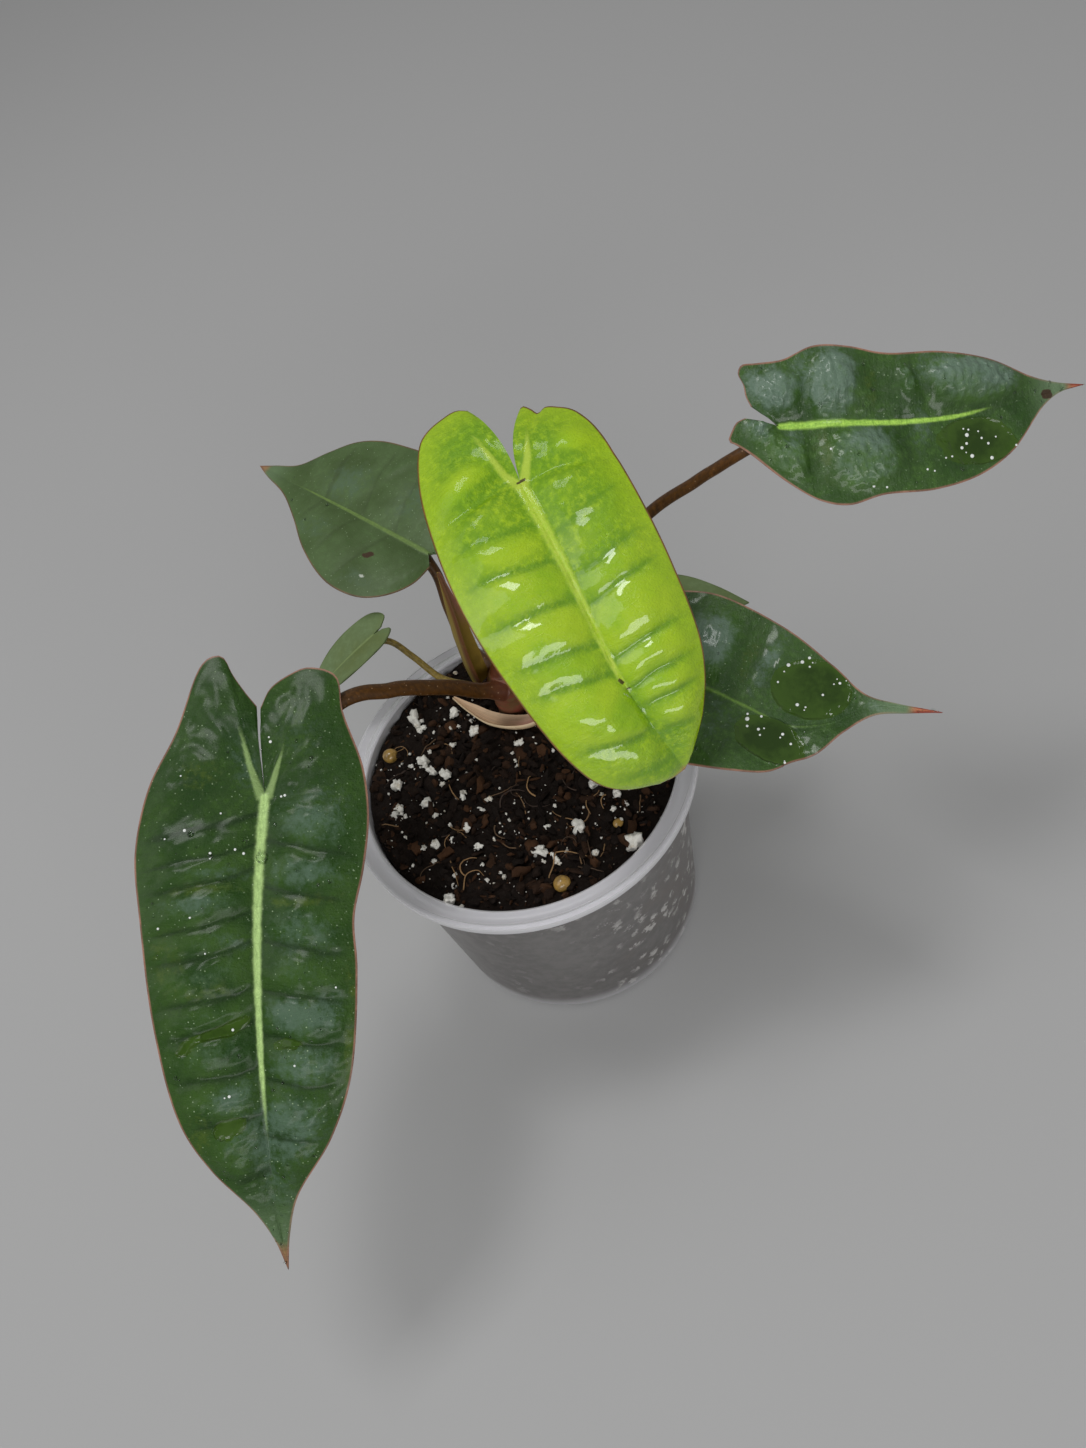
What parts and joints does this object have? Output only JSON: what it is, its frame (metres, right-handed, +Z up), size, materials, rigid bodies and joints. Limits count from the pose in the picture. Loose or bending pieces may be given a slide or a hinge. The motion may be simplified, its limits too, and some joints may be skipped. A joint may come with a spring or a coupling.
{
  "type": "potted philodendron billietiae",
  "caption": "Young philodendron with long ribbed heart-based leaves on arched stalks, growing in a clear plastic nursery cup of dark soil.",
  "frame": {"origin": "centre of the flat underside of the cup, on the surface it stands on", "axes": "+Z up, -Y towards the front of the plant, +X to the right seen from the front"},
  "size_m": [0.2384, 0.1978, 0.1489],
  "materials": {
    "cup_plastic": "satin",
    "soil": "matte",
    "stem": "satin",
    "olive_sheath": "satin",
    "cream_sheath": "matte",
    "new_leaf": "gloss",
    "dark_leaf": "gloss",
    "matte_leaf": "satin",
    "pale_leaf": "matte",
    "brown_stalk": "satin",
    "olive_stalk": "satin"
  },
  "bodies": {
    "root": {"pot": "cup_plastic", "soil": "soil", "stem": "stem", "sheath_standing": "olive_sheath", "sheath_fallen": "cream_sheath", "leaf_a_blade": "new_leaf", "leaf_b_blade": "dark_leaf", "leaf_c_blade": "dark_leaf", "leaf_d_blade": "dark_leaf", "leaf_e_blade": "matte_leaf", "leaf_f_blade": "pale_leaf", "leaf_g_blade": "pale_leaf", "leaf_a_stalk": "brown_stalk", "leaf_b_stalk": "brown_stalk", "leaf_c_stalk": "brown_stalk", "leaf_d_stalk": "brown_stalk", "leaf_e_stalk": "brown_stalk", "leaf_f_stalk": "olive_stalk", "leaf_g_stalk": "olive_stalk"}
  },
  "joints": []
}
